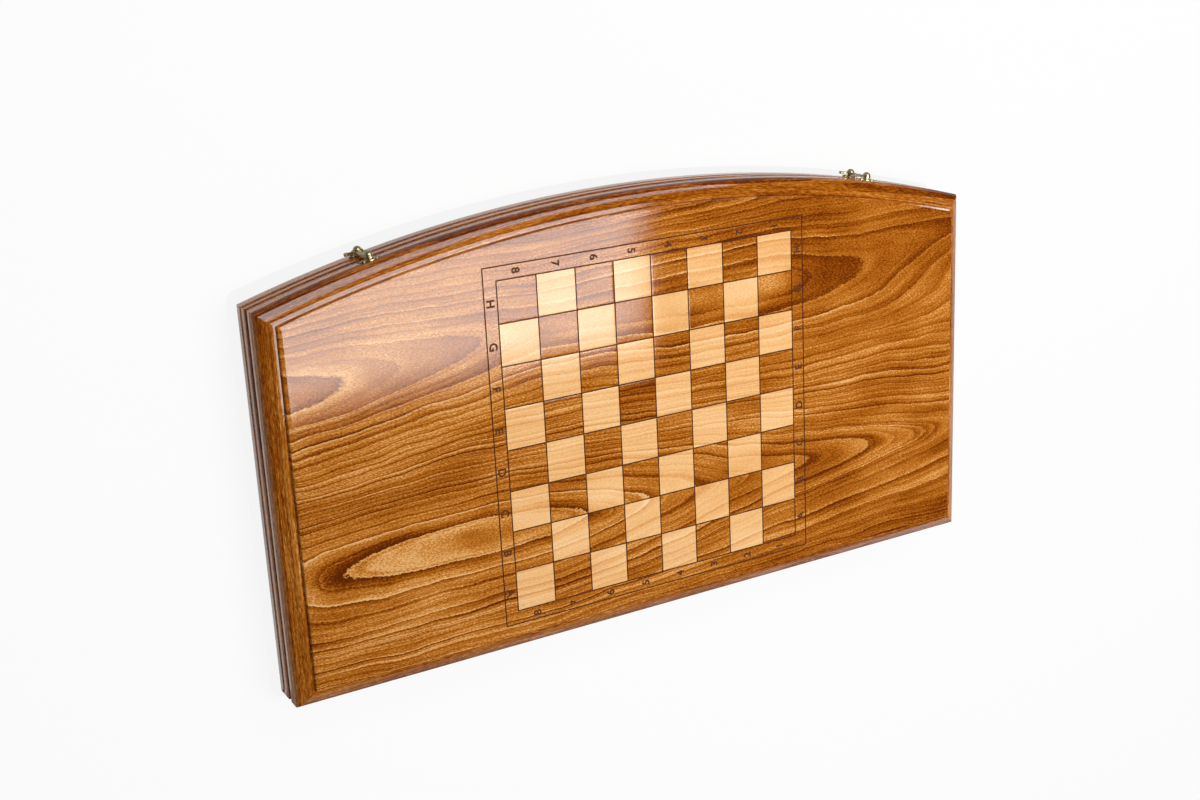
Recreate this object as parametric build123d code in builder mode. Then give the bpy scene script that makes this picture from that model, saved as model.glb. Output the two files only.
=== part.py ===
from build123d import *
import math
import os

# Folding backgammon board, closed and lying on its back: two wooden trays joined by two
# butt hinges along the straight edge, held shut by two hook latches on the arched edge.
# X runs along the board, +Y towards the arched edge, +Z up through the closed case.
# The origin is the centre of the underside. Millimetres.

# Case
face_width = 574.0          # chess face, across the two ends
face_depth = 307.0          # chess face, from the hinge edge to the top of the arch
arch_rise = 40.5            # how far the arch stands above the corners of the face
half_height = 25.0          # one tray
seam_gap = 0.2              # between the closed trays

# Rails
moulding_width = 13.0       # from the edge of the face to the outside of the rail
rail_lip = 8.0              # how far a rail reaches in under its panel
crown_radius = 5.5          # round upper edge of the lid moulding
crown_drop = 12.5           # from the face down to the middle of the crown
crown_turn = 62.0           # degrees of crown before the cove begins
strip_width = 2.4           # flat strip round the raised panel
lid_seam_round = 3.5        # lid rail, edge beside the seam
base_seam_round = 2.0       # base rail, edge beside the seam
base_foot_round = 7.0       # base rail, outer lower edge

# Panels and playing fields
panel_thickness = 9.0
panel_step = 3.2            # height of the raised chess panel above the strip
panel_bevel = 1.2           # width of its bevelled edge
panel_fit = 0.15            # panel to rebate, all round
field_thickness = 3.0
field_fit = 0.2             # playing field to rail, all round

# Chess grid
square = 31.6
squares = 8
grid_centre_y = -7.0        # centre of the grid, from the middle of the face
border_offset = 10.3        # outer line, outside the grid
line_width = 1.0
line_depth = 0.5

# Backgammon points
points_per_end = 6
point_length = 205.0
point_spacing = 2.5         # wood left between two bases
point_thickness = 0.9       # inlaid wood

# Butt hinges
hinge_inset = 97.0          # middle of a hinge, in from the end of the face
hinge_length = 50.0
knuckles = 5
knuckle_gap = 0.2
barrel_radius = 2.2
barrel_clearance = 0.3
axis_offset = 1.0           # hinge axis, outside the rail
pin_radius = 1.0
pin_clearance = 0.04
leaf_width = 15.0
leaf_thickness = 1.0
leaf_fit = 0.1

# Hinge screws
screw_count = 3
screw_spacing = 18.0
screw_inset = 10.5          # from the hinge axis
screw_head_radius = 1.8
screw_radius = 0.85
screw_length = 7.0
screw_fit = 0.05

# Hook latches
latch_inset = 75.0          # latch, in from the end of the face
stud_height = 12.3          # keeper stud, above the underside
plate_thickness = 1.0
plate_seat = 0.05           # flat plate on the slightly round rail
plate_half_height = 4.3
plate_half_width = 4.7
plate_lobe_radius = 2.2
plate_lobe_x = 5.0
plate_chamfer = 0.3
collar_height = 0.7
collar_radius = 2.4
neck_radius = 1.5
neck_clearance = 0.08
knob_radius = 2.9
knob_height = 2.6
knob_rim = 0.7
shank_radius = 1.1
shank_length = 5.0
shank_fit = 0.05
hook_thickness = 2.0
hook_play = 0.15            # under the knobs
hook_eye_radius = 3.3
hook_arm_width = 3.2
hook_arm_bow = 1.6
hook_jaw_radius = 4.3
hook_mouth_clearance = 0.3
hook_tail_x = 8.2
hook_tail_drop = 1.6
hook_tail_width = 2.2
hook_tail_knob = 1.7
hook_corner_round = 0.5     # inner corners of its outline
hook_edge_chamfer = 0.3

# Latch nails
nail_head_radius = 0.85
nail_head_height = 0.5
nail_radius = 0.45
nail_length = 5.0
nail_fit = 0.05

# Worked out from the sizes above
half_width = face_width / 2
hinge_x = half_width - hinge_inset
latch_x = half_width - latch_inset
case_height = 2 * half_height
arch_radius = (half_width**2 + arch_rise**2) / (2 * arch_rise)
arch_centre_y = face_depth / 2 - arch_radius
seam_base = half_height - seam_gap / 2
seam_lid = half_height + seam_gap / 2
base_ledge = panel_thickness
lid_ledge = case_height - panel_thickness
rebate = panel_bevel + panel_fit
hinge_axis_y = -face_depth / 2 - moulding_width - axis_offset
latch_angle = math.degrees(math.asin(latch_x / (arch_radius + moulding_width)))
pivot_height = (case_height - crown_drop + seam_lid + lid_seam_round) / 2
stud_drop = pivot_height - stud_height
knob_start = collar_height + hook_thickness + hook_play
cut_margin = 1.0            # how far a cutting shape runs past the face it cuts


def arch_corner_y(reach):
    """Height at which the arch meets the ends, for an outline that far outside the face."""
    return arch_centre_y + math.sqrt((arch_radius + reach) ** 2 - (half_width + reach) ** 2)


def draw_outline(height, reach):
    """Outline of the face, moved outwards by reach, as a sketch at that height."""
    side = half_width + reach
    low = -face_depth / 2 - reach
    high = arch_corner_y(reach)
    with BuildSketch(Plane.XY.offset(height)) as outline:
        with BuildLine():
            Polyline((-side, high), (-side, low), (side, low), (side, high))
            ThreePointArc((side, high), (0, face_depth / 2 + reach), (-side, high))
        make_face()
    return outline.sketch


# Rail sections: x outwards from the edge of the face, y up

def draw_round(start, direction, end):
    """Bezier curve that follows the circular arc leaving start in that direction and ending at end."""
    start, direction, end = Vector(*start), Vector(*direction), Vector(*end)
    chord = end - start
    turn = 2 * math.radians(direction.get_angle(chord))
    corner = start + direction * (chord.length / 2 / math.cos(turn / 2))
    pull = 4 / 3 * math.tan(turn / 4) / math.tan(turn / 2)
    Bezier(start, start + (corner - start) * pull, end + (corner - end) * pull, end)


def draw_lid_section(plane):
    """Ogee moulding: flat strip, cove, round crown, plain side and a rounded seam edge."""
    turn = math.radians(crown_turn)
    downhill = (math.sin(turn), -math.cos(turn))
    crown_start = (
        moulding_width - crown_radius + crown_radius * math.cos(turn),
        case_height - crown_drop + crown_radius * math.sin(turn),
    )
    crown_end = (moulding_width, case_height - crown_drop)
    strip_end = (rebate + strip_width, case_height - panel_step)
    side_end = (moulding_width, seam_lid + lid_seam_round)
    with BuildSketch(plane) as section:
        with BuildLine():
            Polyline(
                (moulding_width - lid_seam_round, seam_lid),
                (-rail_lip, seam_lid),
                (-rail_lip, lid_ledge),
                (rebate, lid_ledge),
                (rebate, case_height - panel_step),
                strip_end,
            )
            draw_round(crown_start, (-math.sin(turn), math.cos(turn)), strip_end)
            draw_round(crown_start, downhill, crown_end)
            Line(crown_end, side_end)
            draw_round(side_end, (0, -1), (moulding_width - lid_seam_round, seam_lid))
        make_face()
    return section.sketch


def draw_base_section(plane):
    """Plain rail with a rebate for the bottom panel and a well rounded lower edge."""
    side_start = (moulding_width, seam_base - base_seam_round)
    foot_start = (moulding_width, base_foot_round)
    with BuildSketch(plane) as section:
        with BuildLine():
            Polyline(
                (moulding_width - base_foot_round, 0),
                (rebate, 0),
                (rebate, base_ledge),
                (-rail_lip, base_ledge),
                (-rail_lip, seam_base),
                (moulding_width - base_seam_round, seam_base),
            )
            draw_round(side_start, (0, 1), (moulding_width - base_seam_round, seam_base))
            Line(side_start, foot_start)
            draw_round(foot_start, (0, -1), (moulding_width - base_foot_round, 0))
        make_face()
    return section.sketch


# Mitres: one plane at each corner, shared by the two rails that meet there

def mitre_plane(side, reach_from, reach_to, corner_y):
    """Upright plane through a corner; its normal looks along the end rail, away from its middle."""
    x_from, y_from = half_width + reach_from, corner_y(reach_from)
    x_to, y_to = half_width + reach_to, corner_y(reach_to)
    outward = 1 if y_to > y_from else -1
    normal = (-side * outward * (y_to - y_from), outward * (x_to - x_from), 0)
    return Plane(origin=(side * x_from, y_from, 0), z_dir=normal)


def hinge_mitre(side):
    return mitre_plane(side, -rail_lip, moulding_width, lambda reach: -face_depth / 2 - reach)


def arch_mitre(side):
    return mitre_plane(side, -rail_lip, moulding_width, arch_corner_y)


def form_arch_rail(draw_section):
    """Section turned about the centre of the arch, then mitred at both ends."""
    reach = math.degrees(math.asin(half_width / arch_radius)) + 2
    start = math.radians(-reach)
    radial = Vector(math.sin(start), math.cos(start), 0)
    along = Vector(math.cos(start), -math.sin(start), 0)
    centre = Vector(0, arch_centre_y, 0)
    section = draw_section(Plane(centre + radial * arch_radius, x_dir=radial, z_dir=along))
    revolve(section, axis=Axis(centre, (0, 0, -1)), revolution_arc=2 * reach)
    for side in (-1, 1):
        split(bisect_by=arch_mitre(side), keep=Keep.TOP)


def form_hinge_rail(draw_section):
    """Straight rail along the hinge edge, mitred at both ends."""
    section = draw_section(Plane((0, -face_depth / 2, 0), x_dir=(0, -1, 0), z_dir=(-1, 0, 0)))
    extrude(section, amount=half_width + 2 * moulding_width, both=True)
    for side in (-1, 1):
        split(bisect_by=hinge_mitre(side), keep=Keep.TOP)


def form_end_rail(draw_section, side):
    """Straight rail across one end, mitred to the hinge rail and to the arch."""
    section = draw_section(Plane((side * half_width, 0, 0), x_dir=(side, 0, 0), z_dir=(0, -side, 0)))
    extrude(section, amount=face_depth / 2 + 2 * moulding_width, both=True)
    split(bisect_by=hinge_mitre(side), keep=Keep.BOTTOM)
    split(bisect_by=arch_mitre(side), keep=Keep.BOTTOM)


# Playing fields: a thin board with the points let into the side that shows

def draw_points(height, parity):
    """Every second triangle of both ends, pointing to the middle of the tray."""
    low = -face_depth / 2 + rail_lip + field_fit
    base_x = half_width - rail_lip - field_fit
    pitch = (arch_corner_y(-rail_lip - field_fit) - low) / points_per_end
    half_base = (pitch - point_spacing) / 2
    with BuildSketch(Plane.XY.offset(height)) as triangles:
        for side in (-1, 1):
            start = parity if side < 0 else 1 - parity
            for index in range(start, points_per_end, 2):
                middle = low + (index + 0.5) * pitch
                with BuildLine():
                    Polyline(
                        (side * base_x, middle - half_base),
                        (side * base_x, middle + half_base),
                        (side * (base_x - point_length), middle),
                        close=True,
                    )
                make_face()
    return triangles.sketch


def form_field(ledge, facing):
    """Playing field against its panel; facing is +1 where it shows its upper side."""
    extrude(draw_outline(ledge, -rail_lip - field_fit), amount=facing * field_thickness)
    for parity in (0, 1):
        points = draw_points(ledge + facing * field_thickness, parity)
        extrude(points, amount=-facing * point_thickness, mode=Mode.SUBTRACT)


# Hinges: knuckles are counted from the left, even ones on the base, odd ones on the lid

def knuckle_x(index):
    return (index + 0.5) * hinge_length / knuckles - hinge_length / 2


def form_barrel(x, parity, radius, grow, mode):
    """Every second stretch of the barrel, grown endwise, as metal or as a cut."""
    length = hinge_length / knuckles + grow
    for index in range(parity, knuckles, 2):
        with Locations((x + knuckle_x(index), hinge_axis_y, half_height)):
            Cylinder(radius, length, rotation=(0, 90, 0), mode=mode)


def form_leaf(x, seam, inward, parity):
    """One leaf with its knuckles; inward is the direction into its own rail."""
    with BuildSketch(Plane.XY.offset(seam)) as plate:
        with Locations((x, hinge_axis_y + leaf_width / 2)):
            Rectangle(hinge_length, leaf_width)
    extrude(plate.sketch, amount=inward * leaf_thickness)
    form_barrel(x, 1 - parity, barrel_radius + barrel_clearance, knuckle_gap, Mode.SUBTRACT)
    form_barrel(x, parity, barrel_radius, -knuckle_gap, Mode.ADD)
    with Locations((x, hinge_axis_y, half_height)):
        Cylinder(pin_radius + pin_clearance, hinge_length + cut_margin, rotation=(0, 90, 0),
                 mode=Mode.SUBTRACT)
    with Locations(*screw_places(x, seam, inward)):
        add(screw_cut.part, mode=Mode.SUBTRACT)


def screw_places(x, seam, inward):
    """Screws of one leaf, heads flush with it and tips pointing into the rail."""
    flip = 0 if inward < 0 else 180
    offsets = [(index - (screw_count - 1) / 2) * screw_spacing for index in range(screw_count)]
    return [Location((x + dx, hinge_axis_y + screw_inset, seam), (flip, 0, 0)) for dx in offsets]


def draw_screw(fit):
    """Half section of a countersunk screw, head at the origin, tip down."""
    head = screw_head_radius + fit
    body = screw_radius + fit
    with BuildSketch(Plane.XZ) as half:
        with BuildLine():
            Polyline(
                (0, 0),
                (head, 0),
                (body, body - head),
                (body, -screw_length),
                (0, -screw_length),
                close=True,
            )
        make_face()
    return half.sketch


def cut_hinge_seats(seam, inward):
    """Mortises for the leaves, grooves for the barrels and pilot holes for the screws."""
    for x in (-hinge_x, hinge_x):
        with BuildSketch(Plane.XY.offset(seam + inward * leaf_thickness)) as mortise:
            with Locations((x, hinge_axis_y + (leaf_width + leaf_fit) / 2)):
                Rectangle(hinge_length + 2 * leaf_fit, leaf_width + leaf_fit)
        extrude(mortise.sketch, amount=-inward * (leaf_thickness + cut_margin), mode=Mode.SUBTRACT)
        with Locations((x, hinge_axis_y, half_height)):
            Cylinder(barrel_radius + barrel_clearance, hinge_length + 2 * leaf_fit,
                     rotation=(0, 90, 0), mode=Mode.SUBTRACT)
        with Locations(*screw_places(x, seam, inward)):
            add(screw_cut.part, mode=Mode.SUBTRACT)


# Latches: drawn on a plane that touches the arched rail, x towards the board's left end

def latch_plane(side):
    angle = math.radians(side * latch_angle)
    normal = Vector(math.sin(angle), math.cos(angle), 0)
    reach = arch_radius + moulding_width + plate_seat
    return Plane(
        origin=Vector(0, arch_centre_y, 0) + normal * reach,
        x_dir=(-math.cos(angle), math.sin(angle), 0),
        z_dir=normal,
    )


def dome_middle(radius, height):
    """Point half way up a round dome that stands on the level of the origin."""
    ball = (radius**2 + height**2) / (2 * height)
    half_turn = math.atan2(radius, ball - height) / 2
    return (ball * math.sin(half_turn), ball * math.cos(half_turn) - ball + height)


def nail_spots(height):
    return [(side * plate_lobe_x, height) for side in (-1, 1)]


def outer_face(plane):
    """Face of the piece being made that lies furthest out along the plane's normal."""
    return faces().sort_by(Axis(plane.origin, plane.z_dir))[-1]


def form_plate(side, height):
    """Thin escutcheon: an oval with a round lobe for a nail at each side."""
    with BuildSketch(latch_plane(side)) as plate:
        with Locations((0, height)):
            Ellipse(plate_half_width, plate_half_height)
        with Locations(*nail_spots(height)):
            Circle(plate_lobe_radius)
            Circle(nail_radius + nail_fit, mode=Mode.SUBTRACT)
        with Locations((0, height)):
            Circle(shank_radius + shank_fit, mode=Mode.SUBTRACT)
    extrude(plate.sketch, amount=plate_thickness)
    chamfer(outer_face(latch_plane(side)).outer_wire().edges(), length=plate_chamfer)


def form_post(side, height):
    """Turned post: shank in the wood, collar on the plate, neck and domed knob."""
    plane = latch_plane(side)
    foot = plane.from_local_coords((0, height, 0))
    levels = [plate_thickness, plate_thickness + collar_height, plate_thickness + knob_start]
    rim = levels[2] + knob_rim
    top = levels[2] + knob_height
    dome_x, dome_y = dome_middle(knob_radius, knob_height - knob_rim)
    with BuildSketch(Plane(foot, x_dir=plane.x_dir, z_dir=-plane.y_dir)) as half:
        with BuildLine():
            Polyline(
                (0, top),
                (0, -shank_length),
                (shank_radius, -shank_length),
                (shank_radius, levels[0]),
                (collar_radius, levels[0]),
                (collar_radius, levels[1]),
                (neck_radius, levels[1]),
                (neck_radius, levels[2]),
                (knob_radius, levels[2]),
                (knob_radius, rim),
            )
            ThreePointArc((knob_radius, rim), (dome_x, rim + dome_y), (0, top))
        make_face()
    revolve(half.sketch, axis=Axis(foot, plane.z_dir))


def form_hook(side):
    """Flat lever: an eye on the pivot, a bowed arm, a jaw round the stud and a finger tail."""
    plane = latch_plane(side).offset(plate_thickness + collar_height + plate_seat)
    eye = (0, pivot_height)
    jaw = (0, stud_height)
    tail = (hook_tail_x, stud_height - hook_tail_drop)
    with BuildSketch(plane) as lever:
        with BuildLine() as arm:
            ThreePointArc(eye, (hook_arm_bow, (pivot_height + stud_height) / 2), jaw)
        trace(arm.line, line_width=hook_arm_width)
        with Locations(eye):
            Circle(hook_eye_radius)
        with Locations(jaw):
            Circle(hook_jaw_radius)
        with BuildLine() as finger:
            ThreePointArc(jaw, (hook_tail_x * 0.6, stud_height + hook_tail_drop * 0.2), tail)
        trace(finger.line, line_width=hook_tail_width)
        with Locations(tail):
            Circle(hook_tail_knob)
        with Locations(jaw):
            Circle(neck_radius + hook_mouth_clearance, mode=Mode.SUBTRACT)
        with BuildLine() as mouth:
            CenterArc(eye, stud_drop, -90, -math.degrees(2 * hook_jaw_radius / stud_drop))
        trace(mouth.line, line_width=2 * (neck_radius + hook_mouth_clearance), mode=Mode.SUBTRACT)
        offset(amount=hook_corner_round, kind=Kind.ARC, mode=Mode.REPLACE)
        offset(amount=-hook_corner_round, kind=Kind.ARC, mode=Mode.REPLACE)
        with Locations(eye):
            Circle(neck_radius + neck_clearance, mode=Mode.SUBTRACT)
    extrude(lever.sketch, amount=hook_thickness)
    chamfer(outer_face(plane).outer_wire().edges(), length=hook_edge_chamfer)


def draw_nail():
    """Half section of a nail with a coned head, underside of the head at the origin."""
    with BuildSketch(Plane.XZ) as half:
        with BuildLine():
            Polyline(
                (0, nail_head_height),
                (0, -nail_length),
                (nail_radius, -nail_length),
                (nail_radius, 0),
                (nail_head_radius, 0),
                (nail_radius, nail_head_height),
                close=True,
            )
        make_face()
    return half.sketch


def nail_places(height):
    """Both nails of one plate on each latch."""
    places = []
    for side in (-1, 1):
        plane = latch_plane(side).offset(plate_thickness)
        places += [plane.location * Location((x, y, 0)) for x, y in nail_spots(height)]
    return places


def cut_latch_holes(height):
    """Holes in the arched rail for the shank of the post and for the two nails."""
    for side in (-1, 1):
        with BuildSketch(latch_plane(side)) as shank_hole:
            with Locations((0, height)):
                Circle(shank_radius + shank_fit)
        extrude(shank_hole.sketch, amount=-shank_length - shank_fit, mode=Mode.SUBTRACT)
        with BuildSketch(latch_plane(side)) as nail_holes:
            with Locations(*nail_spots(height)):
                Circle(nail_radius + nail_fit)
        extrude(nail_holes.sketch, amount=-nail_length, mode=Mode.SUBTRACT)


def save(piece, name):
    """Label a finished piece and write it as one STEP file."""
    piece.part.label = name
    export_step(piece.part, f"parts/{name}.step")


os.makedirs("parts", exist_ok=True)

# Fastener patterns, used several times below
with BuildPart() as screw:
    revolve(draw_screw(0), axis=Axis.Z)

with BuildPart() as screw_cut:
    revolve(draw_screw(screw_fit), axis=Axis.Z)

with BuildPart() as nail:
    revolve(draw_nail(), axis=Axis.Z)

# Base tray: bottom panel, four rails, playing field and its inlaid points
with BuildPart() as base_panel:
    extrude(draw_outline(0, panel_bevel), amount=panel_thickness)
save(base_panel, "base_panel")

with BuildPart() as base_arch_rail:
    form_arch_rail(draw_base_section)
    cut_latch_holes(stud_height)
save(base_arch_rail, "base_arch_rail")

with BuildPart() as base_hinge_rail:
    form_hinge_rail(draw_base_section)
    cut_hinge_seats(seam_base, -1)
save(base_hinge_rail, "base_hinge_rail")

for side, end in ((-1, "left"), (1, "right")):
    with BuildPart() as base_end_rail:
        form_end_rail(draw_base_section, side)
    save(base_end_rail, f"base_{end}_rail")

with BuildPart() as base_field:
    form_field(base_ledge, 1)
save(base_field, "base_field")

for parity, tone in ((0, "dark"), (1, "light")):
    with BuildPart() as base_points:
        extrude(draw_points(base_ledge + field_thickness, parity), amount=-point_thickness)
    save(base_points, f"base_points_{tone}")

# Lid tray: raised chess panel with its routed grid, moulded rails, playing field and points
with BuildPart() as lid_panel:
    extrude(draw_outline(lid_ledge, panel_bevel), amount=panel_thickness - panel_step)
    bevel_angle = math.degrees(math.atan(panel_bevel / panel_step))
    extrude(draw_outline(case_height - panel_step, panel_bevel), amount=panel_step, taper=bevel_angle)
    with BuildSketch(Plane.XY.offset(case_height)):
        grid_span = squares * square + line_width
        frame_span = grid_span + 2 * border_offset
        with Locations((0, grid_centre_y)):
            Rectangle(frame_span, frame_span)
            Rectangle(frame_span - 2 * line_width, frame_span - 2 * line_width, mode=Mode.SUBTRACT)
            with GridLocations(square, 0, squares + 1, 1):
                Rectangle(line_width, grid_span)
            with GridLocations(0, square, 1, squares + 1):
                Rectangle(grid_span, line_width)
    extrude(amount=-line_depth, mode=Mode.SUBTRACT)
save(lid_panel, "lid_panel")

with BuildPart() as lid_arch_rail:
    form_arch_rail(draw_lid_section)
    cut_latch_holes(pivot_height)
save(lid_arch_rail, "lid_arch_rail")

with BuildPart() as lid_hinge_rail:
    form_hinge_rail(draw_lid_section)
    cut_hinge_seats(seam_lid, 1)
save(lid_hinge_rail, "lid_hinge_rail")

for side, end in ((-1, "left"), (1, "right")):
    with BuildPart() as lid_end_rail:
        form_end_rail(draw_lid_section, side)
    save(lid_end_rail, f"lid_{end}_rail")

with BuildPart() as lid_field:
    form_field(lid_ledge, -1)
save(lid_field, "lid_field")

for parity, tone in ((0, "dark"), (1, "light")):
    with BuildPart() as lid_points:
        extrude(draw_points(lid_ledge - field_thickness, parity), amount=point_thickness)
    save(lid_points, f"lid_points_{tone}")

# Hinges: two leaves and a pin each, and the screws of all the leaves on one tray
for side, end in ((-1, "left"), (1, "right")):
    with BuildPart() as base_leaf:
        form_leaf(side * hinge_x, seam_base, -1, 0)
    save(base_leaf, f"{end}_hinge_base_leaf")

    with BuildPart() as lid_leaf:
        form_leaf(side * hinge_x, seam_lid, 1, 1)
    save(lid_leaf, f"{end}_hinge_lid_leaf")

    with BuildPart() as hinge_pin:
        with Locations((side * hinge_x, hinge_axis_y, half_height)):
            Cylinder(pin_radius, hinge_length, rotation=(0, 90, 0))
    save(hinge_pin, f"{end}_hinge_pin")

with BuildPart() as base_screws:
    for x in (-hinge_x, hinge_x):
        with Locations(*screw_places(x, seam_base, -1)):
            add(screw.part)
save(base_screws, "base_hinge_screws")

with BuildPart() as lid_screws:
    for x in (-hinge_x, hinge_x):
        with Locations(*screw_places(x, seam_lid, 1)):
            add(screw.part)
save(lid_screws, "lid_hinge_screws")

# Latches: a pivot and a hook on the lid, a stud on the base, each on its own plate
for side, end in ((-1, "left"), (1, "right")):
    with BuildPart() as pivot_plate:
        form_plate(side, pivot_height)
    save(pivot_plate, f"{end}_latch_pivot_plate")

    with BuildPart() as pivot:
        form_post(side, pivot_height)
    save(pivot, f"{end}_latch_pivot")

    with BuildPart() as hook:
        form_hook(side)
    save(hook, f"{end}_latch_hook")

    with BuildPart() as stud_plate:
        form_plate(side, stud_height)
    save(stud_plate, f"{end}_latch_stud_plate")

    with BuildPart() as stud:
        form_post(side, stud_height)
    save(stud, f"{end}_latch_stud")

with BuildPart() as pivot_nails:
    with Locations(*nail_places(pivot_height)):
        add(nail.part)
save(pivot_nails, "lid_latch_nails")

with BuildPart() as stud_nails:
    with Locations(*nail_places(stud_height)):
        add(nail.part)
save(stud_nails, "base_latch_nails")
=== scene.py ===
"""Backgammon board in a folding wooden case with a chess grid on its lid, shown closed.

Wood figure: growth rings are the whole-number levels of a phase that is worked out from the
place on the board, with two finer families of rings between them at multiples of the phase.
On a board cut near the bark the phase is a cosine across the grain whose height grows both
ways along it from one place, which gives a long flame with nested tongues beside it. On a
rail the phase rises evenly across the grain. Slow noise bends both, and fine noise frays the
edge of every ring.
"""
import math

import bmesh
import bpy
import numpy as np
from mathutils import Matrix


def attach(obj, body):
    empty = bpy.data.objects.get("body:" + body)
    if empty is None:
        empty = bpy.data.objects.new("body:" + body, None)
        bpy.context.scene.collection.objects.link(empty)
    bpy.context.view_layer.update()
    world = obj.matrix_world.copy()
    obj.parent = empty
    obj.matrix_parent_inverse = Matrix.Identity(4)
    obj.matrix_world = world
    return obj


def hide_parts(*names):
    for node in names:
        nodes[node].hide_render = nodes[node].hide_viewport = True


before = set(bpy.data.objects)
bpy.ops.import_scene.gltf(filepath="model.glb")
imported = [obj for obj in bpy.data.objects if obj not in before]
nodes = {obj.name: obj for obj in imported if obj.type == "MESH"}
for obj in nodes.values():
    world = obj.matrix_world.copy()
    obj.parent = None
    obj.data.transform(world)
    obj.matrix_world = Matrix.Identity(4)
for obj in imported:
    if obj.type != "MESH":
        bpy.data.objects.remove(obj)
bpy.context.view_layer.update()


# Viewpoint. The board is seen from above the left half of its arched edge, from 1.3 m away,
# with a lens a little longer than normal. The place comes from the corners of the chess grid.
view_place = (-0.61606, 0.38957, 1.09572)
view_turn = (-0.276849, -0.512095, -0.055809)
view_lens = 50.48

camera_data = bpy.data.cameras.new("viewpoint")
camera_data.sensor_width = 36.0
camera_data.lens = view_lens
camera = bpy.data.objects.new("viewpoint", camera_data)
camera.location = view_place
camera.rotation_euler = view_turn
bpy.context.scene.collection.objects.link(camera)
bpy.context.scene.camera = camera
bpy.context.scene.view_settings.view_transform = "Standard"


# Rails of both trays. Beech, stained brown and lacquered, each cut from one moulded strip
# with its grain along its length and mitred to its neighbours at the corners. The sizes, as
# all of the board, are in millimetres; the studio is in metres.
mm = 0.001
half_width = 287.0
face_low = -153.5
arch_rise = 40.5
arch_radius = (half_width**2 + arch_rise**2) / (2 * arch_rise)
arch_centre_y = -face_low - arch_radius
case_height = 50.0
panel_thickness = 9.0
face_step = 3.2
moulding_width = 13.0
rail_lip = 8.0
rebate = 1.35
lip_reach = 0.6
lip_drop = 0.5
strip_width = 2.4
strip_fall = 0.5
arris = 0.12
crown_radius = 5.5
crown_foot = 37.5
crown_turn = math.radians(62.0)
lid_seam_round = 3.5
base_seam_round = 2.0
foot_round = 7.0
seam_base = 24.9
seam_lid = 25.1


class Field:
    """A number that varies over a surface. Sums and products of fields become Math nodes."""

    def __init__(self, socket):
        self.socket = socket

    def step(self, operation, *others):
        """Result of one Math node fed with this field and the others."""
        tree = self.socket.id_data
        node = tree.nodes.new("ShaderNodeMath")
        node.operation = operation
        for place, value in enumerate((self, *others)):
            if isinstance(value, Field):
                tree.links.new(value.socket, node.inputs[place])
            else:
                node.inputs[place].default_value = value
        return Field(node.outputs[0])

    def __add__(self, other):
        return self.step("ADD", other)

    def __sub__(self, other):
        return self.step("SUBTRACT", other)

    def __mul__(self, other):
        return self.step("MULTIPLY", other)

    def __truediv__(self, other):
        return self.step("DIVIDE", other)

    def __rsub__(self, other):
        return self * -1.0 + other


def new_finish(name):
    """Empty material with its node tree and its shader."""
    material = bpy.data.materials.new(name)
    material.use_nodes = True
    shader = material.node_tree.nodes["Principled BSDF"]
    return material, material.node_tree, shader


def place_on_board(tree):
    """Place in millimetres, read from the object's own coordinates: along X, along Y and up."""
    origin = tree.nodes.new("ShaderNodeTexCoord")
    split = tree.nodes.new("ShaderNodeSeparateXYZ")
    tree.links.new(origin.outputs["Object"], split.inputs[0])
    return [Field(split.outputs[axis]) * 1000.0 for axis in range(3)]


def cloud(x, y, z, detail=2.0, roughness=0.5):
    """Noise from 0 to 1 whose lumps are about one unit across in the given coordinates."""
    tree = x.socket.id_data
    join = tree.nodes.new("ShaderNodeCombineXYZ")
    for place, value in enumerate((x, y, z)):
        tree.links.new(value.socket, join.inputs[place])
    noise = tree.nodes.new("ShaderNodeTexNoise")
    noise.inputs["Scale"].default_value = 1.0
    noise.inputs["Detail"].default_value = detail
    noise.inputs["Roughness"].default_value = roughness
    tree.links.new(join.outputs[0], noise.inputs["Vector"])
    return Field(noise.outputs[0])


def dye(red, green, blue):
    """Colour given as it looks on a screen, 0 to 255, turned into the light it reflects."""
    parts = np.array([red, green, blue]) / 255.0
    light = np.where(parts <= 0.04045, parts / 12.92, ((parts + 0.055) / 1.055) ** 2.4)
    return (*[float(v) for v in light], 1.0)


def shade(field, stops):
    """Colours along a field: each stop is a level and the colour there."""
    tree = field.socket.id_data
    ramp = tree.nodes.new("ShaderNodeValToRGB")
    marks = ramp.color_ramp.elements
    while len(marks) < len(stops):
        marks.new(0.5)
    for mark, (level, colour) in zip(marks, stops):
        mark.position = level
        mark.color = colour
    tree.links.new(field.socket, ramp.inputs[0])
    return ramp.outputs[0]


def growth_rings(phase):
    """Share of the way through the present ring, and a number of its own for each ring."""
    tree = phase.socket.id_data
    share = phase.step("FRACT")
    dice = tree.nodes.new("ShaderNodeTexWhiteNoise")
    dice.noise_dimensions = "1D"
    tree.links.new(phase.step("FLOOR").socket, dice.inputs["W"])
    return share, Field(dice.outputs["Value"])


def pores(along, across, depth):
    """Short vessels that lie along the grain, 0 to 1, the lowest of them darkest."""
    return cloud(along * 0.4, across * 2.1, depth * 2.1, 3.0, 0.6)


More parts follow.
